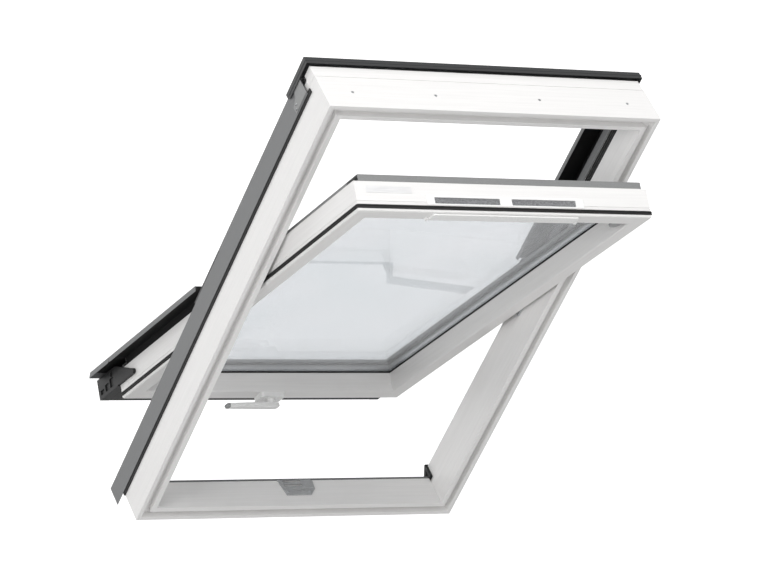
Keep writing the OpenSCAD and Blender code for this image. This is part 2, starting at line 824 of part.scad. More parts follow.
vent_low_m = -41;
vent_high_m = -19.5;
vent_deep = 22;
vent_rib = 14;
grille_l = vent_l / 2 - 19;
module vent_pocket() {
    block([-vent_l / 2 - 0.2, sash_s - vent_deep, vent_low_m - 0.2],
          [vent_l / 2 + 0.2, sash_s + 1, vent_high_m + 0.2]);
}
module vent_openings(deep) {
    for (hand = [LEFT, RIGHT]) side(hand)
        outwards(vent_low_m + 3.5, vent_high_m - 5)
            translate([vent_rib, sash_s - deep]) square([grille_l - vent_rib, deep + 2]);
}
// Housing: a tray with two openings
module vent_housing() {
    color(white) on_sash() difference() {
        block([-vent_l / 2, sash_s - vent_deep + 0.3, vent_low_m], [vent_l / 2, sash_s + 0.6, vent_high_m]);
        vent_openings(vent_deep + 2);
    }
}
module vent_filters() {
    color(dark) on_sash() for (hand = [LEFT, RIGHT]) side(hand)
        block([vent_rib + 0.2, sash_s - 14, vent_low_m + 3.7],
              [grille_l - 0.2, sash_s - 1.5, vent_high_m - 5.2]);
}

module label_plate() {
    color([0.85, 0.85, 0.85]) on_sash()
        block([-sash_x + 25, sash_s, -18], [-sash_x + 129, sash_s + 0.6, -4]);
}

// Flap on the room face, hinged along its lower edge
flap_t = 3.5;
flap_low_s = sash_s - 31;
flap_pin_r = 1.6;
flap_pin_m = -sash_face - 2;
flap_pin_s = flap_low_s + 0.6;
flap_bracket_l = 5;
flap_slot_l = flap_l - 26;
module flap_slot() {
    block([-flap_slot_l / 2, sash_s - 27, -sash_face - 1], [flap_slot_l / 2, sash_s - 8, vent_low_m + 1]);
}
module vent_flap() {
    face = -sash_face - 0.3;
    r = 6;
    color(white) on_sash() union() {
        outwards(face - flap_t, face) translate([0, flap_low_s]) union() {
            translate([-flap_l / 2, 0]) square([flap_l, flap_w - r]);
            translate([r - flap_l / 2, 0]) square([flap_l - 2 * r, flap_w]);
            for (hand = [LEFT, RIGHT]) translate([hand * (flap_l / 2 - r), flap_w - r]) circle(r);
        }
        for (hand = [LEFT, RIGHT]) side(hand)
            rod_x([flap_l / 2 - 7, flap_pin_s, flap_pin_m], flap_pin_r, 7 + flap_bracket_l);
    }
}
// Ears that carry the flap's pins
module flap_brackets() {
    ear = flap_l / 2 + 0.4;
    color(white) on_sash() for (hand = [LEFT, RIGHT]) side(hand) difference() {
        block([ear, flap_pin_s - 3, flap_pin_m - 2.8], [ear + flap_bracket_l, flap_pin_s + 4, -sash_face]);
        rod_x([ear - 1, flap_pin_s, flap_pin_m], flap_pin_r + pin_clear, flap_bracket_l + 2);
    }
}

// ---- handle and lock --------------------------------------------------------

handle_s = -sash_s + 22.5;
bolt_x = lock_x - 5;
base_w = 60;
base_l = 42;
base_r = 7;
base_t = 11;
neck_t = 7;
spindle_r = 3.5;
spindle_slot = spindle_r + 0.5;
spindle_deep = 24;
base_screw_xs = [-25, 25];
bolt_top = handle_s + bolt_travel + spindle_slot + 2;
hub_r = 10;
hub_seat = 5;
lever_t = 14;
lever_w = 21;

module bolt_channel() {
    block([bolt_x - bolt_w / 2 - 0.3, -sash_s - 1, -sash_face - 1],
          [bolt_x + bolt_w / 2 + 0.3, bolt_top + 0.4, -sash_face + bolt_t + 0.9]);
}

// Rosette with rounded corners
module handle_base() {
    wide = base_w / 2 - base_r;
    high = base_l / 2 - base_r;
    color(white) on_sash() difference() {
        outwards(-sash_face - base_t, -sash_face) translate([lock_x, handle_s]) union() {
            translate([-wide - base_r, -high]) square([base_w, 2 * high]);
            translate([-wide, -high - base_r]) square([2 * wide, base_l]);
            for (x = [-wide, wide]) for (s = [-high, high]) translate([x, s]) circle(base_r);
        }
        rod_n([lock_x, handle_s, -sash_face - base_t - 1], hub_r + 0.3, 1 + hub_seat);
        rod_n([lock_x, handle_s, -sash_face - base_t], spindle_r + 0.06, base_t + 1);
    }
}

// Lever on its spindle, lying along the rail when the window is unlocked
module handle_lever() {
    back = -sash_face - base_t - neck_t;
    half = lever_w / 2;
    color(white) on_sash() union() {
        rod_n([lock_x, handle_s, back - 1], spindle_r, 1 + neck_t + base_t + spindle_deep - 4);
        rod_n([lock_x, handle_s, back - 1], hub_r, 1 + neck_t + hub_seat - 0.3);
        outwards(back - lever_t, back) translate([lock_x, handle_s])
            polygon([[-lever_l, 1.5 - half], [2 - lever_l, -half], [14, -half],
                     [22, half], [2 - lever_l, half], [-lever_l, half - 1.5]]);
    }
}

// Flat bolt that the spindle drives down into the striker
module latch_bolt() {
    tip = -sash_s + 0.8;
    color(steel) on_sash() difference() {
        block([bolt_x - bolt_w / 2, tip, -sash_face + 0.3],
              [bolt_x + bolt_w / 2, bolt_top, -sash_face + 0.3 + bolt_t]);
        // slot that passes the spindle over the bolt's travel
        outwards(-sash_face - 1, -sash_face + 5) {
            translate([lock_x, handle_s]) circle(spindle_slot);
            translate([lock_x, handle_s + bolt_travel]) circle(spindle_slot);
            translate([lock_x - spindle_slot, handle_s]) square([2 * spindle_slot, bolt_travel]);
        }
    }
}

// Striker on the sill: two catches, for closed and for airing
striker_t = 2.5;
striker_slots = [58, 70];
striker_slot_h = 5.5;
striker_screw_xs = [lock_x - 24, lock_x + 28];
striker_screw_n = 38;
striker_screw_l = 18;
module striker_pocket(n, clear) {
    block([bolt_x - bolt_w / 2 - 3, sill_t - 14, n - striker_slot_h / 2 - clear],
          [bolt_x + bolt_w / 2 + 3, sill_t + striker_t + 2, n + striker_slot_h / 2 + clear]);
}
module striker_plate() {
    color([0.6, 0.6, 0.61]) on_roof() difference() {
        union() {
            up_slope(sill_t, sill_t + striker_t) translate([lock_x, 0])
                polygon([[-31, 29], [-40, sill_d], [43, sill_d], [47, sill_d - 5], [44, 46], [29, 29]]);
            // raised lead-in below the catches
            up_slope(sill_t + striker_t - eps, sill_t + striker_t + 1.5) translate([lock_x, 0])
                polygon([[-33, 50], [-12, 48], [20, 48], [42, 50],
                         [43, 52.5], [20, 50.5], [-12, 50.5], [-34, 52.5]]);
        }
        for (n = striker_slots) striker_pocket(n, 0);
        block([lock_x - 9, sill_t + 1, 40], [lock_x + 13, sill_t + 4, 46]);
        for (x = striker_screw_xs)
            rod_v([x, sill_t - 1, striker_screw_n], 1.6, 6);
    }
}
module striker_screw(x) {
    rod_v([x, sill_t + striker_t, striker_screw_n], 3, 1.2);
    rod_v([x, sill_t - striker_screw_l, striker_screw_n], 1.5, striker_screw_l + striker_t + eps);
}

// Screws that hold the hinges, the cladding brackets and the striker
module frame_screws() {
    color(steel) on_roof() {
        for (hand = [LEFT, RIGHT]) side(hand) {
            for (p = hinge_screws_at) hinge_screw(p, 0);
            for (p = bracket_screws_at) bracket_screw(p);
        }
        for (x = striker_screw_xs) striker_screw(x);
    }
}

// ---- barrel bolt ------------------------------------------------------------

barrel_r = 4;
barrel_s = sash_s - 27;
barrel_m = -43;
barrel_from = light_x - 48;
barrel_travel = 12;
barrel_to = sash_x + 2;
tab_x = light_x - 25;
tab_r = 12.5;
tab_l = 10;
tab_low = -55;
tab_high = -51;
module barrel_hole() {
    rod_x([barrel_from - 1, barrel_s, barrel_m], barrel_r + 0.15, sash_x - barrel_from + 6);
}
module barrel_slot() {
    block([tab_x - 5, light_top - 1, tab_low - 0.4],
          [tab_x + 5 + barrel_travel + 1, barrel_s, barrel_m]);
}
module barrel_bolt() {
    color(dark) on_sash() union() {
        rod_x([barrel_from, barrel_s, barrel_m], barrel_r, barrel_to - barrel_from);
        block([tab_x - 4, light_top - 3, tab_low], [tab_x + 4, barrel_s - 1, tab_high]);
        block([tab_x - 4, light_top + 2.5, tab_low], [tab_x + 4, barrel_s - 1, barrel_m]);
        outwards(tab_low, tab_high) {
            translate([tab_x - tab_r, light_top - 1.5 - tab_l]) square([2 * tab_r, tab_l]);
            translate([tab_x, light_top - 1.5 - tab_l]) circle(tab_r);
        }
    }
}

// Bush in the right-hand jamb that the barrel bolt enters
bush_r = 6.8;
bush_v = pivot_v + barrel_s;
bush_n = pivot_n + barrel_m;
module bush_seat() {
    rod_x([reveal_x - 2, bush_v, bush_n], bush_r + screw_pilot, 16);
}
module bolt_bush() {
    color(black) on_roof() difference() {
        rod_x([reveal_x, bush_v, bush_n], bush_r, 13);
        rod_x([reveal_x - 1, bush_v, bush_n], barrel_r + 0.6, 12);
    }
}

frame_top_rail();
frame_sill();
frame_jamb_left();
frame_jamb_right();
frame_seal();
sill_cladding();
head_cladding();
reveal_cladding_left();
reveal_cladding_right();
sill_plug_left();
sill_plug_right();
side_seal_left();
side_seal_right();
side_cladding_left();
side_cladding_right();
cladding_bracket_left();
cladding_bracket_right();
frame_screws();
hood();
upper_cover_left();
upper_cover_right();
hinge_cover_left();
hinge_cover_right();
head_screws();
frame_hinge_left();
frame_hinge_right();
striker_plate();
bolt_bush();
sash_top_rail();
sash_bottom_rail();
sash_stile_left();
sash_stile_right();
sash_seal();
inner_pane();
outer_pane();
pane_spacer();
glazing_seal();
glass_outer_seal();
glass_trim_top();
glass_trim_bottom();
glass_trim_left();
glass_trim_right();
lower_cover_left();
lower_cover_right();
bottom_cover();
bottom_profile();
end_cap_left();
end_cap_right();
sash_hinge_left();
sash_hinge_right();
sash_hinge_screws();
vent_housing();
vent_filters();
label_plate();
flap_brackets();
vent_flap();
handle_base();
handle_lever();
latch_bolt();
barrel_bolt();
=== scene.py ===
# %% [markdown]
# # Centre-pivot roof window
# The real thing is a lacquered pine frame that sits in a sloping roof, with a
# glazed pine sash that turns about two side hinges. Aluminium sheet covers the
# weather side, black rubber seals the gaps, and a white lever locks the sash.
#
# The construction arrives as a fixed frame: every part at its real size, in
# metres. This script gives each part the finish and the small shapes that a
# flat CAD solid lacks: eased edges, screw heads, moulded gaskets and grips.

# %% Load the fixed frame
import math

import bmesh
import bpy
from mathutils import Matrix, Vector
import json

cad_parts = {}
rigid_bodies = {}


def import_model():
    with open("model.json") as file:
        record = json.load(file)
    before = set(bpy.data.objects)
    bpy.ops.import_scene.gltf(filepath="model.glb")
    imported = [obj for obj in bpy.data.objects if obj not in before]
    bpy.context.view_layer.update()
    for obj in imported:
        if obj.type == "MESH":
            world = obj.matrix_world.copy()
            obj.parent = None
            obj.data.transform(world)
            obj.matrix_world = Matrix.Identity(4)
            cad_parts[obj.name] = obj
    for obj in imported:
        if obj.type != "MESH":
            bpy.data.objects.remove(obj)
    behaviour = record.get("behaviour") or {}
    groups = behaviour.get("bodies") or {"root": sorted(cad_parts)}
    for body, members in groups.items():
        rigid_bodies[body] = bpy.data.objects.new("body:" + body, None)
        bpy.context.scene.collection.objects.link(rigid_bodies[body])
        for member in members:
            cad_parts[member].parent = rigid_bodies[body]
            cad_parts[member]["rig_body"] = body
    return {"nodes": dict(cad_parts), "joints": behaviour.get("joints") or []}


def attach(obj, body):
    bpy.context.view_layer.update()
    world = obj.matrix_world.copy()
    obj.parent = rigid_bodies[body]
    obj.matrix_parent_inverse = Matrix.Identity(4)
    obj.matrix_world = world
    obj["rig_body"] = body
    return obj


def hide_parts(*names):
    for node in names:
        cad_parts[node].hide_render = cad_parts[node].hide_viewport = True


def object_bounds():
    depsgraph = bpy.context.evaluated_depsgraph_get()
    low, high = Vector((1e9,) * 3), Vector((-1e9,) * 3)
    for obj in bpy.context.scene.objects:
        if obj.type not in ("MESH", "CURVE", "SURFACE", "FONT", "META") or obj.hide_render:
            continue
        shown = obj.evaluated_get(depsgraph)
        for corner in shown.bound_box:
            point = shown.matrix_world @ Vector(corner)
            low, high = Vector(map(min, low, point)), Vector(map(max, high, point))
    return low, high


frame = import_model()
cad_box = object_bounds()
NODES = frame["nodes"]
JOINTS = {joint["name"]: joint for joint in frame["joints"]}

# %% [markdown]
# ## Two sloping sets of axes
# The frame lies on a 45 degree roof and the sash stands open by 25 degrees, so
# neither follows the world's axes. Both turn about X only. Working along the
# slope keeps every size readable: `u` runs up the slope and `w` runs outwards,
# square to it. A plane is an origin and an angle, and `at` turns x, u, w into
# a point in the room.

# %% Axes of the frame and of the sash
MM = 0.001
ROOF_PITCH = math.radians(45)
OPEN_ANGLE = math.radians(25)
PIVOT = Vector(JOINTS["sash_pivot"]["pos_m"])


class Slope:
    """A plane that rises towards -Y, with its own up and outward directions."""

    def __init__(self, origin, pitch):
        self.up = Vector((0, -math.cos(pitch), math.sin(pitch)))
        self.out = Vector((0, math.sin(pitch), math.cos(pitch)))
        self.origin = Vector(origin)
        self.angle = pitch

    def at(self, x, u, w):
        return self.origin + Vector((x, 0, 0)) + self.up * u + self.out * w

    def flat(self, point):
        """The x, u, w of a point."""
        offset = point - self.origin
        return Vector((offset.x, offset.dot(self.up), offset.dot(self.out)))

    def span(self, node):
        """Lowest and highest x, u, w of a CAD node."""
        points = [self.flat(v.co) for v in NODES[node].data.vertices]
        return Vector(map(min, zip(*points))), Vector(map(max, zip(*points)))


ROOF = Slope((0, 0, 0), ROOF_PITCH)
SASH = Slope(PIVOT, ROOF_PITCH - OPEN_ANGLE)
low, high = SASH.span("sash_stile_right")
print("stile length up the sash:", round(high[1] - low[1], 4), "m")

# %% [markdown]
# ## Materials
# Each finish is built from what the real one is. One helper turns an sRGB hex
# colour into the linear values that a shader works in, and one adds a node with
# its settings and links. A finish is then a single pattern of a real size that
# moves the colour, the gloss and the relief together, so a raised spot is also
# lighter and a low spot darker. Patterns read Object
# coordinates, in metres, so their scale is one over their size.

# %% Helpers for materials
def hex_colour(code):
    parts = [int(code[i : i + 2], 16) / 255 for i in (1, 3, 5)]
    return [c / 12.92 if c <= 0.04045 else ((c + 0.055) / 1.055) ** 2.4 for c in parts] + [1.0]


def add(tree, kind, inputs=None, **settings):
    """Adds a node. An input takes another node's output or a plain value."""
    node = tree.nodes.new(kind)
    for name, value in settings.items():
        setattr(node, name, value)
    for socket, value in (inputs or {}).items():
        if isinstance(value, bpy.types.NodeSocket):
            tree.links.new(value, node.inputs[socket])
        else:
            node.inputs[socket].default_value = value
    return node


MIX_DARK, MIX_LIGHT, MIX_COLOUR = 6, 7, 2
NOISE = "ShaderNodeTexNoise"
VORONOI = "ShaderNodeTexVoronoi"


def finish(name, dark, light, size, rough, height, span=(0.3, 0.7), tilt=0.0, stretch=(1, 1, 1),
           texture=NOISE, reading="Fac", settings=None, detail=None, **surface):
    """A material with one pattern of a size in metres. `span` is the part of the
    pattern's values that the two colours and the two roughnesses spread over,
    `height` is how far it stands proud, in metres, and `stretch` is how much
    longer it is along each axis, once those axes are tilted about X."""
    material = bpy.data.materials.new(name)
    material.use_nodes = True
    tree = material.node_tree
    shader = tree.nodes["Principled BSDF"]
    for socket, value in surface.items():
        shader.inputs[socket.replace("_", " ")].default_value = value
    place = add(tree, "ShaderNodeTexCoord")
    turned = add(tree, "ShaderNodeMapping", {
        "Vector": place.outputs["Object"], "Rotation": (-tilt, 0, 0), "Scale": stretch},
        vector_type="TEXTURE")
    inputs = {"Vector": turned.outputs["Vector"], "Scale": 1 / size}
    inputs.update(detail or {})
    pattern = add(tree, texture, inputs, **(settings or {})).outputs[reading]
    share = add(tree, "ShaderNodeMapRange", {
        "Value": pattern, "From Min": span[0], "From Max": span[1]})
    colour = add(tree, "ShaderNodeMix", {
        "Factor": share.outputs["Result"], MIX_DARK: hex_colour(dark), MIX_LIGHT: hex_colour(light)},
        data_type="RGBA")
    gloss = add(tree, "ShaderNodeMapRange", {
        "Value": share.outputs["Result"], "To Min": rough[0], "To Max": rough[1]})
    raised = add(tree, "ShaderNodeBump", {"Height": pattern, "Distance": height})
    tree.links.new(colour.outputs[MIX_COLOUR], shader.inputs["Base Color"])
    tree.links.new(gloss.outputs["Result"], shader.inputs["Roughness"])
    tree.links.new(raised.outputs["Normal"], shader.inputs["Normal"])
    return material


# %% [markdown]
# ### Lacquered pine
# The timber is finger-jointed pine under a thick white lacquer. The lacquer is
# sprayed, so it has a soft satin gloss with a faint orange peel, and the grain
# only telegraphs through as shallow lines along each member. Rails run along X
# and the side members up the slope, so the grain needs one material for each
# direction. The peel is finer than the grain and moves only the gloss.

# %% White lacquered pine
GRAIN_WIDTH = 5 * MM
GRAIN_RELIEF = 0.05 * MM
ORANGE_PEEL = 2.5 * MM
ALONG_X = (30, 1, 1)
ALONG_SLOPE = (1, 30, 1)


def lacquered_pine(name, stretch, tilt):
    material = finish(name, "#e4e3e2", "#eae9e8", GRAIN_WIDTH, (0.3, 0.36), GRAIN_RELIEF,
                      (0.25, 0.75), tilt, stretch, detail={"Detail": 4.0},
                      IOR=1.5, Coat_Weight=0.2, Coat_Roughness=0.25)
    tree = material.node_tree
    place = add(tree, "ShaderNodeTexCoord")
    peel = add(tree, NOISE, {"Vector": place.outputs["Object"], "Scale": 1 / ORANGE_PEEL})
    spread = add(tree, "ShaderNodeMapRange", {"Value": peel.outputs["Fac"], "To Min": 0.28, "To Max": 0.42})
    tree.links.new(spread.outputs["Result"], tree.nodes["Principled BSDF"].inputs["Roughness"])
    return material


rail_pine = lacquered_pine("lacquered_pine_rails", ALONG_X, 0)
jamb_pine = lacquered_pine("lacquered_pine_jambs", ALONG_SLOPE, ROOF.angle)
stile_pine = lacquered_pine("lacquered_pine_stiles", ALONG_SLOPE, SASH.angle)
print("grain lines every", GRAIN_WIDTH / MM, "mm")

# %% [markdown]
# ### Coil-coated aluminium
# The covers are folded from sheet that was painted flat, as a coil. The paint
# is thin and even, half matt, with a very fine metallic grit. Real grit is
# finer than a picture can show, so it is drawn at 1.5 mm. The back of the sheet
# carries a thin primer, drawn near-black as painted shade for the dark under the covers.

# %% Painted aluminium, grey and dark
PAINT_GRIT = 1.5 * MM


def coated_aluminium(name, dark, light, rough=0.42, metallic=0.15):
    return finish(name, dark, light, PAINT_GRIT, (rough - 0.06, rough + 0.08), 0.02 * MM,
                  Metallic=metallic, Coat_Weight=0.1, Coat_Roughness=0.35)


cover_grey = coated_aluminium("coil_coated_aluminium_grey", "#68696a", "#757677")
bracket_grey = coated_aluminium("coil_coated_aluminium_light", "#818282", "#8e8f8f")
hood_dark = coated_aluminium("coil_coated_aluminium_dark", "#2c2d2e", "#373839")
# The near-black back is a thin primer, painted as dark as the shade that falls inside the folds.
primer_painted_shade = coated_aluminium("black_backing_primer", "#0d0d0e", "#161617", 0.6, 0.0)

# %% [markdown]
# ### Bright metals
# The spacer between the panes is bare roll-formed aluminium, with a row of fine
# holes that let the drying agent breathe. Hinges, screws and the bolt are steel
# with a clear zinc plating, which shows soft crystals a few millimetres wide.
# The label plate is foil brushed along its length.

# %% Spacer aluminium, zinc-plated steel and satin foil
ZINC_CRYSTAL = 3 * MM
BRUSH_LINE = 1.2 * MM
HOLE_PITCH = 3 * MM
zinc_steel = finish("zinc_plated_steel", "#aeb1b4", "#c8cacc", ZINC_CRYSTAL, (0.29, 0.45),
                    0.02 * MM, Metallic=1.0)
striker_zinc = finish("zinc_plated_striker", "#adaeaf", "#bfc0c1", ZINC_CRYSTAL, (0.43, 0.59),
                      0.02 * MM, Metallic=0.5)
satin_foil = finish("satin_foil", "#dededf", "#eaeaea", BRUSH_LINE, (0.38, 0.54), 0.02 * MM,
                    stretch=ALONG_X, Metallic=0.3)
spacer_metal = finish("roll_formed_spacer_aluminium", "#9a9c9e", "#e4e5e6", HOLE_PITCH,
                      (0.45, 0.3), 0.04 * MM, (0.12, 0.2), texture=VORONOI, reading="Distance",
                      detail={"Randomness": 0.0}, Metallic=0.6)

# %% [markdown]
# ### Plastics and rubber
# The handle, the vent and its flap are moulded ABS with a fine spark-eroded
# texture and a soft gloss. Plugs, caps and the bottom profile are black
# polypropylene, duller and a little coarser. The gaskets are extruded EPDM: so
# matt that they read as black lines, with faint draw marks. The filters are
# open-cell foam: each cell is sunk and painted dark, as painted shade in its pit, in a paler web.

# %% White ABS, black polypropylene, rubber and filter foam
SPARK_TEXTURE = 1.2 * MM
COARSE_TEXTURE = 1.6 * MM
FOAM_CELL = 2.2 * MM
white_abs = finish("white_abs", "#ececeb", "#f1f1f0", SPARK_TEXTURE, (0.24, 0.38), 0.015 * MM, IOR=1.53)
grey_abs = finish("grey_abs", "#8b8c8d", "#98999a", SPARK_TEXTURE, (0.34, 0.48), 0.015 * MM, IOR=1.53)
black_polypropylene = finish("black_polypropylene", "#111112", "#191a1b", COARSE_TEXTURE,
                             (0.44, 0.58), 0.025 * MM, IOR=1.49)
epdm_rubber = finish("epdm_rubber", "#121212", "#1b1b1b", COARSE_TEXTURE, (0.54, 0.68), 0.03 * MM, IOR=1.52)
# The foam's dark cell centres are painted shade in the pits; here the second colour is the darker one.
filter_foam = finish("open_cell_foam", "#8e8f91", "#3a3b3d", FOAM_CELL, (0.95, 0.9), -0.7 * MM,
                     (0.02, 0.3), texture=VORONOI, reading="Distance",
                     settings={"feature": "DISTANCE_TO_EDGE"}, Sheen_Weight=0.3)

# %% [markdown]
# ### Float glass
# Each pane is 4 mm clear float glass. It is flat to the eye but carries a very
# long, shallow wave from the float bath, and an iron tint that shows as a faint
# cool grey. Light passes through both panes, so the tint stays slight.

# %% Clear float glass
FLOAT_WAVE = 180 * MM
float_glass = finish("clear_float_glass", "#f4f7f9", "#fafbfd", FLOAT_WAVE, (0.0, 0.01), 0.05 * MM,
                     (0.2, 0.8), Transmission_Weight=0.94, IOR=1.45)
print(len(bpy.data.materials), "materials so far")

# %% [markdown]
# ## Eased edges
# No real edge is a perfect corner. Timber is sanded to about a millimetre,
# sheet folds over its own thickness, and moulded parts have a draught radius.
# A rounded edge catches a thin highlight, which is what makes a part look made
# rather than drawn. A CAD solid is loose triangles, so it is copied, its points
# are merged and its flat faces joined; then a Bevel rounds what is left and
# Weighted Normals keep the big faces flat.

# %% Copy a CAD part and round its edges
MERGE = 1e-6
FLAT = math.radians(1)


def link(name, mesh):
    piece = bpy.data.objects.new(name, mesh)
    bpy.context.scene.collection.objects.link(piece)
    return piece


def bake(piece):
    """Turns the piece with its modifiers into a plain mesh."""
    bpy.context.view_layer.update()
    graph = bpy.context.evaluated_depsgraph_get()
    mesh = bpy.data.meshes.new_from_object(piece.evaluated_get(graph))
    piece.modifiers.clear()
    piece.data = mesh
    mesh.name = piece.name


def settle(piece, node, material):
    """Gives a finished piece its body and its material."""
    piece.data.materials.clear()
    piece.data.materials.append(material)
    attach(piece, NODES[node]["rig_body"])


def clean_copy(node):
    mesh = NODES[node].data.copy()
    mesh.materials.clear()
    shape = bmesh.new()
    shape.from_mesh(mesh)
    bmesh.ops.remove_doubles(shape, verts=shape.verts, dist=MERGE)
    bmesh.ops.dissolve_limit(shape, angle_limit=FLAT, verts=shape.verts, edges=shape.edges)
    shape.to_mesh(mesh)
    shape.free()
    return mesh


def eased(node, material, radius, steps=2, sharp=35):
    """A part's own shape with rounded edges, in place of the plain solid."""
    piece = link(node + "_eased", clean_copy(node))
    piece.data.shade_smooth()
    bevel = piece.modifiers.new("edges", "BEVEL")
    bevel.width = radius
    bevel.segments = steps
    bevel.limit_method = "ANGLE"
    bevel.angle_limit = math.radians(sharp)
    bevel.use_clamp_overlap = True
    bevel.miter_outer = "MITER_ARC"
    normals = piece.modifiers.new("normals", "WEIGHTED_NORMAL")
    normals.keep_sharp = True
    bake(piece)
    settle(piece, node, material)
    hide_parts(node)
    return piece


# %% Timber
TIMBER_EDGE = 1.2 * MM
TIMBER = {
    rail_pine: ["frame_top_rail", "frame_sill", "sash_top_rail", "sash_bottom_rail"],
    jamb_pine: ["frame_jamb_left", "frame_jamb_right"],
    stile_pine: ["sash_stile_left", "sash_stile_right"],
}
for pine, members in TIMBER.items():
    for member in members:
        eased(member, pine, TIMBER_EDGE)
print("timber members with sanded edges:", sum(len(m) for m in TIMBER.values()))

# %% Sheet metal
FOLD = 0.5 * MM
SHEETS = {
    cover_grey: [
        "side_cladding_left", "side_cladding_right", "reveal_cladding_left", "reveal_cladding_right",
        "head_cladding", "sill_cladding", "upper_cover_left", "upper_cover_right",
        "lower_cover_left", "lower_cover_right", "bottom_cover",
    ],
    bracket_grey: [
        "cladding_bracket_left", "cladding_bracket_right",
        "glass_trim_top", "glass_trim_bottom", "glass_trim_left", "glass_trim_right",
    ],
    hood_dark: ["hood", "hinge_cover_left", "hinge_cover_right"],
    striker_zinc: ["striker_plate"],
    zinc_steel: [
        "frame_hinge_left", "frame_hinge_right", "sash_hinge_left", "sash_hinge_right", "latch_bolt",
    ],
    satin_foil: ["label_plate"],
}
for paint, sheets in SHEETS.items():
    for sheet in sheets:
        eased(sheet, paint, FOLD)
print("sheet parts:", sum(len(s) for s in SHEETS.values()))

# %% [markdown]
# The back of coil-coated sheet carries a thin primer; here it is painted near-black,
# as painted shade for the dark that falls under and inside the covers. On a folded cover
# the back is every face that looks into the hollow, so a face belongs to it
# when it turns towards the line down the middle of the fold.

# %% Painted shade on the backs of the folded covers
BACK_REACH = 3 * MM


def paint_fold_shade(name, slope):
    """Gives the faces that look into a fold the near-black primer, as painted shade."""
    low, high = slope.span(name)
    middle = (low + high) / 2
    piece = bpy.data.objects[name + "_eased"]
    piece.data.materials.append(primer_painted_shade)
    count = 0
    for face in piece.data.polygons:
        inwards = middle - slope.flat(face.center)
        normal = slope.flat(slope.origin + face.normal)
        inwards.y = 0
        if inwards.dot(normal) > BACK_REACH and abs(normal.y) < 0.5:
            face.material_index = 1
            count += 1
    return count


# Painted shade: the inner faces of the sash's and the frame's covers get the near-black primer.
for name in ("lower_cover_left", "lower_cover_right", "bottom_cover"):
    print(name, paint_fold_shade(name, SASH), "faces primed")
for name in ("upper_cover_left", "upper_cover_right", "hinge_cover_left", "hinge_cover_right"):
    print(name, paint_fold_shade(name, ROOF), "faces primed")

# %% Mouldings
MOULD_EDGE = 0.9 * MM
MOULDINGS = {
    white_abs: ["vent_housing", "vent_flap", "flap_brackets"],
    black_polypropylene: [
        "sill_plug_left", "sill_plug_right", "bottom_profile", "end_cap_left", "end_cap_right", "bolt_bush",
    ],
    grey_abs: ["barrel_bolt"],
}
for plastic, mouldings in MOULDINGS.items():
    for moulding in mouldings:
        eased(moulding, plastic, MOULD_EDGE)
print("mouldings:", sum(len(m) for m in MOULDINGS.values()))

# %% Parts whose own shape is right
PLAIN = {
    float_glass: ["inner_pane", "outer_pane"],
    spacer_metal: ["pane_spacer"],
    filter_foam: ["vent_filters"],
    epdm_rubber: ["side_seal_left", "side_seal_right", "glazing_seal", "glass_outer_seal"],
}
for substance, parts in PLAIN.items():
    for part in parts:
        mesh = NODES[part].data
        mesh.materials.clear()
        mesh.materials.append(substance)
print("carried over as they are:", sum(len(p) for p in PLAIN.values()))

# %% [markdown]
# ## Screws
# Every screw is the same small shape at another size: a tapered head with a
# cross recess. That repeats, so it is a job for Geometry Nodes. The script reads
# where each head sits from the CAD screws, puts one point there with its facing
# and its size, and the tree sets a head on every point.

# %% Find the heads of the CAD screws
def islands(node):
    """The separate screws in a node, each as a list of points."""
    shape = bmesh.new()
    shape.from_mesh(clean_copy(node))
    left = set(shape.verts)
    groups = []
    while left:
        queue = [left.pop()]
        group = []
        while queue:
            vertex = queue.pop()
            group.append(vertex.co.copy())
            for edge in vertex.link_edges:
                other = edge.other_vert(vertex)
                if other in left:
                    left.remove(other)
                    queue.append(other)
        groups.append(group)
    shape.free()
    return groups


RIM = 0.9
NEAR_END = 0.4


def heads(node, slope):
    """Seat, facing and size of each screw head: the widest part, near one end."""
    found = []
    for group in islands(node):
        points = [slope.flat(p) for p in group]
        low, high = Vector(map(min, zip(*points))), Vector(map(max, zip(*points)))
        size = high - low
        along = max(range(3), key=lambda axis: size[axis])
        middle = (low + high) / 2
        axis = Vector([float(i == along) for i in range(3)])
        radial = [((p - middle) - axis * (p - middle).dot(axis)).length for p in points]
        radius = max(radial)
        wide = [p[along] for p, r in zip(points, radial) if r > RIM * radius]
        outward = 1 if max(wide) > middle[along] + size[along] * NEAR_END else -1
        seat, facing = middle.copy(), Vector((0, 0, 0))
        seat[along] = min(wide) if outward > 0 else max(wide)
        facing[along] = outward
        world_facing = slope.at(*facing) - slope.origin
        deep = max(wide) - min(wide)
        found.append((slope.at(*seat), world_facing, (radius, radius, deep)))
    return found


screw_heads = {
    "head_screws": heads("head_screws", ROOF),
    "frame_screws": heads("frame_screws", ROOF),
    "sash_hinge_screws": heads("sash_hinge_screws", SASH),
}
print({node: len(found) for node, found in screw_heads.items()})

# %% The tree that sets a head on each point
def new_tree(name, inputs):
    tree = bpy.data.node_groups.new(name, "GeometryNodeTree")
    for title, kind in inputs:
        tree.interface.new_socket(title, in_out="INPUT", socket_type=kind)
    tree.interface.new_socket("Geometry", in_out="OUTPUT", socket_type="NodeSocketGeometry")
    return tree, add(tree, "NodeGroupInput"), add(tree, "NodeGroupOutput")


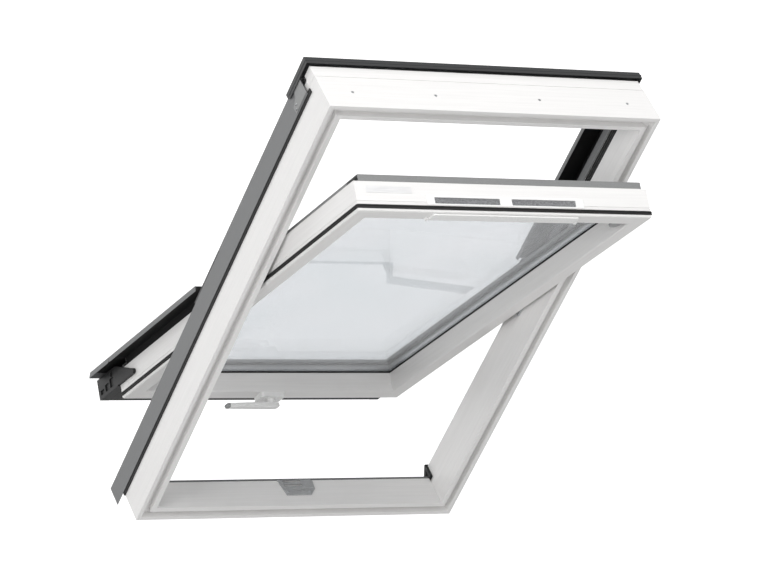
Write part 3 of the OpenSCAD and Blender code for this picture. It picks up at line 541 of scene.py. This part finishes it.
def screw_tree():
    tree, given, result = new_tree("cross_recess_heads", [
        ("Geometry", "NodeSocketGeometry"), ("Top Share", "NodeSocketFloat"),
        ("Recess Width", "NodeSocketFloat"), ("Recess Depth", "NodeSocketFloat"),
        ("Finish", "NodeSocketMaterial")])
    given = given.outputs
    head = add(tree, "GeometryNodeMeshCone", {
        "Radius Top": given["Top Share"], "Vertices": 20, "Radius Bottom": 1.0, "Depth": 1.0})
    arms = []
    for across in (0, 1):
        size = add(tree, "ShaderNodeCombineXYZ", {
            "XY"[across]: 1.1, "XY"[1 - across]: given["Recess Width"], "Z": given["Recess Depth"]})
        bar = add(tree, "GeometryNodeMeshCube", {"Size": size.outputs[0]})
        arms.append(add(tree, "GeometryNodeTransform", {
            "Geometry": bar.outputs["Mesh"], "Translation": (0, 0, 1)}))
    cut = add(tree, "GeometryNodeMeshBoolean", {"Mesh 1": head.outputs["Mesh"]}, operation="DIFFERENCE")
    for arm in arms:
        tree.links.new(arm.outputs["Geometry"], cut.inputs["Mesh 2"])
    facing = add(tree, "GeometryNodeInputNamedAttribute", {"Name": "facing"}, data_type="FLOAT_VECTOR")
    size = add(tree, "GeometryNodeInputNamedAttribute", {"Name": "size"}, data_type="FLOAT_VECTOR")
    turn = add(tree, "FunctionNodeAlignRotationToVector", {"Vector": facing.outputs["Attribute"]}, axis="Z")
    placed = add(tree, "GeometryNodeInstanceOnPoints", {
        "Points": given["Geometry"], "Instance": cut.outputs["Mesh"],
        "Rotation": turn.outputs["Rotation"], "Scale": size.outputs["Attribute"]})
    solid = add(tree, "GeometryNodeRealizeInstances", {"Geometry": placed.outputs["Instances"]})
    done = add(tree, "GeometryNodeSetMaterial", {
        "Geometry": solid.outputs["Geometry"], "Material": given["Finish"]})
    tree.links.new(done.outputs["Geometry"], result.inputs["Geometry"])
    return tree


def grow(piece, tree, **inputs):
    """Runs a tree on a piece with these inputs and keeps the result as a plain mesh."""
    modifier = piece.modifiers.new("grow", "NODES")
    modifier.node_group = tree
    for item in tree.interface.items_tree:
        if item.in_out == "INPUT" and item.name.replace(" ", "_") in inputs:
            modifier[item.identifier] = inputs[item.name.replace(" ", "_")]
    bake(piece)


# %% Grow the screw heads
CROSS_HEADS = screw_tree()
for node, found in screw_heads.items():
    mesh = bpy.data.meshes.new(node + "_points")
    mesh.from_pydata([seat for seat, facing, size in found], [], [])
    fields = {"facing": [f for _, f, _ in found], "size": [z for _, _, z in found]}
    for title, values in fields.items():
        field = mesh.attributes.new(title, "FLOAT_VECTOR", "POINT")
        for item, value in zip(field.data, values):
            item.vector = value
    piece = link(node + "_heads", mesh)
    grow(piece, CROSS_HEADS, Top_Share=0.72, Recess_Width=0.2, Recess_Depth=0.9, Finish=zinc_steel)
    settle(piece, node, zinc_steel)
    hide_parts(node)
    print(piece.name, len(piece.data.polygons), "faces")

# %% [markdown]
# ## Rubber gaskets
# The sash's gasket is an extruded strip with a root that grips the groove and
# two hollow bulbs that press on the jamb. It is one section swept along a path,
# and the path turns each corner with a small radius, because rubber will not
# fold sharply. The tree takes the path as a chain of edges, rounds its corners
# and sweeps a round bulb along it. The gasket stops short of the hinges.

# %% The tree that sweeps a bulb along a path
def gasket_tree():
    tree, given, result = new_tree("swept_bulb_gasket", [
        ("Geometry", "NodeSocketGeometry"), ("Bulb Radius", "NodeSocketFloat"),
        ("Corner Radius", "NodeSocketFloat"), ("Bulb Sides", "NodeSocketInt"),
        ("Finish", "NodeSocketMaterial")])
    given = given.outputs
    path = add(tree, "GeometryNodeMeshToCurve", {"Mesh": given["Geometry"]})
    rounded = add(tree, "GeometryNodeFilletCurve", {
        "Curve": path.outputs["Curve"], "Radius": given["Corner Radius"], "Count": 4}, mode="POLY")
    bulb = add(tree, "GeometryNodeCurvePrimitiveCircle",
               {"Resolution": given["Bulb Sides"], "Radius": given["Bulb Radius"]})
    swept = add(tree, "GeometryNodeCurveToMesh", {
        "Curve": rounded.outputs["Curve"], "Profile Curve": bulb.outputs["Curve"], "Fill Caps": True})
    smooth = add(tree, "GeometryNodeSetShadeSmooth", {"Geometry": swept.outputs["Mesh"]})
    solid = add(tree, "GeometryNodeRealizeInstances", {"Geometry": smooth.outputs["Geometry"]})
    done = add(tree, "GeometryNodeSetMaterial", {
        "Geometry": solid.outputs["Geometry"], "Material": given["Finish"]})
    tree.links.new(done.outputs["Geometry"], result.inputs["Geometry"])
    return tree


BULB_GASKET = gasket_tree()


CORNER = 4 * MM


def bulbs(name, paths, radius):
    """One gasket strand for each open path of points, at one radius."""
    points, edges = [], []
    for path in paths:
        edges += [(len(points) + i, len(points) + i + 1) for i in range(len(path) - 1)]
        points += path
    mesh = bpy.data.meshes.new(name)
    mesh.from_pydata(points, edges, [])
    piece = link(name, mesh)
    grow(piece, BULB_GASKET, Bulb_Radius=radius, Corner_Radius=CORNER, Bulb_Sides=12,
         Finish=epdm_rubber)
    return piece


def join(name, pieces):
    """Several plain meshes as one piece."""
    shape = bmesh.new()
    for part in pieces:
        shape.from_mesh(part.data)
        bpy.data.objects.remove(part)
    mesh = bpy.data.meshes.new(name)
    shape.to_mesh(mesh)
    shape.free()
    return link(name, mesh)


# %% Gasket round the sash
HINGE_STOP = 40 * MM
seal_low, seal_high = SASH.span("sash_seal")
stile_low, stile_high = SASH.span("sash_stile_right")
SEAL_MIDDLE = (seal_low.z + seal_high.z) / 2
SEAL_HALF = (seal_high.z - seal_low.z) / 2
BULB = SEAL_HALF / 2


def hoop(slope, x, start, end, w):
    """Up from `start` on the left, across at `end`, and back on the right."""
    return [slope.at(-x, start, w), slope.at(-x, end, w), slope.at(x, end, w), slope.at(x, start, w)]


def round_the_sash(inset, w):
    """Two open paths round the sash, at a distance inside the gasket's edge."""
    x, top, foot = seal_high.x - inset, seal_high.y - inset, seal_low.y + inset
    halves = ((HINGE_STOP, top), (-HINGE_STOP, foot))
    return [hoop(SASH, x, stop, end, w) for stop, end in halves]


ROOT_REACH = 0.8
ROOT_SIZE = 0.9
sash_gasket = join("sash_gasket", [
    bulbs("bulb_room", round_the_sash(BULB, SEAL_MIDDLE - BULB), BULB),
    bulbs("bulb_weather", round_the_sash(BULB, SEAL_MIDDLE + BULB), BULB),
    bulbs("root", round_the_sash(seal_high.x - stile_high.x + SEAL_HALF * ROOT_REACH, SEAL_MIDDLE),
          SEAL_HALF * ROOT_SIZE),
])
settle(sash_gasket, "sash_seal", epdm_rubber)
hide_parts("sash_seal")
print("sash gasket:", len(sash_gasket.data.polygons), "faces, bulb radius", round(BULB / MM, 2), "mm")

# %% Gasket in the frame's reveal
reveal_low, reveal_high = ROOF.span("frame_seal")
SECTION = reveal_high.z - reveal_low.z
DEPTH = 7.5 * MM


def round_the_reveal(w, inset):
    return [hoop(ROOF, reveal_high.x - inset, reveal_low.y, reveal_high.y - inset, w)]


# Place and radius of each bulb, as shares of the section
REVEAL_BULBS = ((0.22, 0.2), (0.6, 0.22), (0.88, 0.11))
reveal_gasket = join("reveal_gasket", [
    bulbs("bulb_" + str(i),
          round_the_reveal(reveal_low.z + SECTION * share, DEPTH - SECTION * size), SECTION * size)
    for i, (share, size) in enumerate(REVEAL_BULBS)
])
settle(reveal_gasket, "frame_seal", epdm_rubber)
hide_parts("frame_seal")
print("reveal gasket:", len(reveal_gasket.data.polygons), "faces")

# %% [markdown]
# ## Handle
# The lever is a hollow ABS moulding over a zinc core. Its section is a soft
# rectangle that narrows and thins from the hub to the tip, so it is lofted:
# one ring of points for each station along its length, bridged to the next. A
# grey insert closes the tip. The rosette under it is a rounded block.

# %% Loft the lever
lever_low, lever_high = SASH.span("handle_lever")
base_low, _ = SASH.span("handle_base")
HUB = Vector(JOINTS["handle_turn"]["pos_m"])
hub_x, hub_u, _ = SASH.flat(HUB)
LEVER_DEPTH = 14 * MM
STATIONS = 28
RING = 32


SQUARENESS = 4.0
HUB_END = 14
TIP_END = 22
TAPER_WIDTH = 0.16
TAPER_DEPTH = 0.3
NECK = 10
NECK_SOCKET = 4.7 * MM


def turn_of(step):
    return 2 * math.pi * step / RING


def soft_rectangle(half_u, half_w):
    """Points of a superellipse, a rectangle whose corners are round."""
    ring = []
    for step in range(RING):
        c, t = math.cos(turn_of(step)), math.sin(turn_of(step))
        ring.append((half_u * math.copysign(abs(c) ** (2 / SQUARENESS), c),
                     half_w * math.copysign(abs(t) ** (2 / SQUARENESS), t)))
    return ring


def rounding(share, steepness):
    """How far a rounded end has swelled at a share of the length."""
    return math.sin(math.pi / 2 * min(1, share * steepness))


def bridge(shape, rings):
    """A closed skin over rings of points."""
    for near, far in zip(rings, rings[1:]):
        for i in range(RING):
            j = (i + 1) % RING
            shape.faces.new((near[i], near[j], far[j], far[i]))
    shape.faces.new(rings[0])
    shape.faces.new(reversed(rings[-1]))


def grip_rings(shape, back):
    half_width = (lever_high.y - lever_low.y) / 2
    rings = []
    for station in range(STATIONS + 1):
        share = station / STATIONS
        x = lever_high.x + (lever_low.x - lever_high.x) * share
        end = min(1, rounding(share, HUB_END) + 0.02, rounding(1 - share, TIP_END) + 0.35)
        half_u = half_width * (1 - TAPER_WIDTH * share) * end
        half_w = LEVER_DEPTH / 2 * (1 - TAPER_DEPTH * share ** 1.5) * end
        centre = back - LEVER_DEPTH / 2 - (LEVER_DEPTH / 2 - half_w) * 0.2 * share
        rings.append([shape.verts.new(SASH.at(x, hub_u + u, centre + w))
                      for u, w in soft_rectangle(half_u, half_w)])
    return rings


def neck_rings(shape, back):
    """A flared neck from the lever into the rosette, as radius in mm and height."""
    profile = [(12.5, back - 2 * MM), (10.6, back + 1.2 * MM), (9.9, back + 3.5 * MM),
               (9.9, base_low.z + NECK_SOCKET)]
    rings = []
    for radius, w in profile:
        across = radius * MM * min(1, NECK / radius + 0.05)
        along = radius * MM * min(1, NECK / radius)
        rings.append([shape.verts.new(SASH.at(hub_x + across * math.cos(turn_of(step)),
                                              hub_u + along * math.sin(turn_of(step)), w))
                      for step in range(RING)])
    return rings


def lever():
    shape = bmesh.new()
    back = lever_low.z + LEVER_DEPTH
    bridge(shape, grip_rings(shape, back))
    bridge(shape, neck_rings(shape, back))
    bmesh.ops.recalc_face_normals(shape, faces=shape.faces)
    mesh = bpy.data.meshes.new("lever_grip")
    shape.to_mesh(mesh)
    shape.free()
    mesh.shade_smooth()
    mesh.set_sharp_from_angle(angle=math.radians(50))
    return link("lever_grip", mesh)


grip = lever()
settle(grip, "handle_lever", white_abs)
grip.data.materials.append(grey_abs)
TIP_INSERT = 9 * MM
for face in grip.data.polygons:
    if SASH.flat(face.center).x < lever_low.x + TIP_INSERT:
        face.material_index = 1
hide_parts("handle_lever")
ROSETTE_EDGE = 2.2 * MM
eased("handle_base", white_abs, ROSETTE_EDGE, 4)
print("lever length", round((lever_high.x - lever_low.x) / MM), "mm")

# %% [markdown]
# ## Stage, light and camera
# The window is shown in front of plain white, as in a catalogue. The floor and
# the back wall are one pale sheet with a wide sweep between them, so no corner
# shows. The paper is lit from behind where it rises, as a studio light wall is,
# and stays pale grey near the window, so faces that look down are darker than
# those that look up. Three large soft lamps shape the timber: one low on the
# left reaches into the reveals, one lifts the front and one the top, and a weak
# white sky fills the shadows.

# %% Floor that sweeps up into a wall
LOWEST = cad_box[0].z
FLOOR_GAP = 0.55
FLOOR_Z = LOWEST - FLOOR_GAP
SWEEP_RADIUS = 3.0
WALL_Y = 9.0
HALF_WIDTH = 14.0
NEAR_Y = -14.0
GLOW_FROM = 3.0
GLOW = 0.85


def backdrop():
    outline = [(NEAR_Y, FLOOR_Z)]
    for step in range(25):
        angle = math.pi / 2 * step / 24
        outline.append((WALL_Y - SWEEP_RADIUS + SWEEP_RADIUS * math.sin(angle),
                        FLOOR_Z + SWEEP_RADIUS - SWEEP_RADIUS * math.cos(angle)))
    outline.append((WALL_Y, FLOOR_Z + 9.0))
    shape = bmesh.new()
    rows = [[shape.verts.new((x, y, z)) for y, z in outline] for x in (-HALF_WIDTH, HALF_WIDTH)]
    for a, b, c, d in zip(rows[0], rows[0][1:], rows[1][1:], rows[1]):
        shape.faces.new((d, c, b, a))
    mesh = bpy.data.meshes.new("pale_floor")
    shape.to_mesh(mesh)
    shape.free()
    mesh.shade_smooth()
    return link("pale_floor", mesh)


floor = backdrop()
floor_paint = finish("matt_backdrop_paper", "#cecece", "#cfcfcf", 400 * MM, (0.88, 0.94), 0.0)
floor_tree = floor_paint.node_tree
where = add(floor_tree, "ShaderNodeTexCoord")
depth = add(floor_tree, "ShaderNodeSeparateXYZ", {"Vector": where.outputs["Object"]})
glow = add(floor_tree, "ShaderNodeMapRange", {
    "Value": depth.outputs["Y"], "From Min": GLOW_FROM, "From Max": WALL_Y - 1, "To Max": GLOW})
floor_shader = floor_tree.nodes["Principled BSDF"]
floor_shader.inputs["Emission Color"].default_value = (1, 1, 1, 1)
floor_tree.links.new(glow.outputs["Result"], floor_shader.inputs["Emission Strength"])
floor.data.materials.append(floor_paint)

# %% Lights
def soft_lamp(name, at, aim, size, power):
    data = bpy.data.lights.new(name, "AREA")
    data.shape = "SQUARE"
    data.size = size
    data.energy = power
    lamp = bpy.data.objects.new(name, data)
    lamp.location = at
    lamp.rotation_euler = (Vector(aim) - Vector(at)).to_track_quat("-Z", "Y").to_euler()
    bpy.context.scene.collection.objects.link(lamp)
    return lamp


MIDDLE = (0, -0.33, 0.44)
soft_lamp("left", (-5.5, -3.2, 0.7), MIDDLE, 2.0, 110)
soft_lamp("front", (-1.0, -7.0, 0.6), MIDDLE, 2.5, 65)
soft_lamp("top", (-0.6, -3.6, 4.8), MIDDLE, 2.5, 150)

SKY = 0.52
world = bpy.data.worlds.new("white_studio")
world.use_nodes = True
world.node_tree.nodes["Background"].inputs["Color"].default_value = (1, 1, 1, 1)
world.node_tree.nodes["Background"].inputs["Strength"].default_value = SKY
bpy.context.scene.world = world
bpy.context.scene.view_settings.view_transform = "Standard"

# %% [markdown]
# A long lens from inside the room, just below the middle of the window and to
# its left, keeps the frame's long edges nearly parallel.

# %% Camera
CAMERA_AT = (-4.1566, -7.47895, 0.28152)
AZIMUTH = math.radians(30.43)
ELEVATION = math.radians(1.28)
ahead = Vector((
    math.sin(AZIMUTH) * math.cos(ELEVATION),
    math.cos(AZIMUTH) * math.cos(ELEVATION),
    math.sin(ELEVATION),
))
lens = bpy.data.cameras.new("room_view")
lens.lens = 183.55
lens.sensor_width = 36
lens.clip_end = 100
camera = bpy.data.objects.new("room_view", lens)
camera.location = CAMERA_AT
camera.rotation_euler = ahead.to_track_quat("-Z", "Y").to_euler()
bpy.context.scene.collection.objects.link(camera)
bpy.context.scene.camera = camera
print("lens", lens.lens, "mm at", CAMERA_AT)
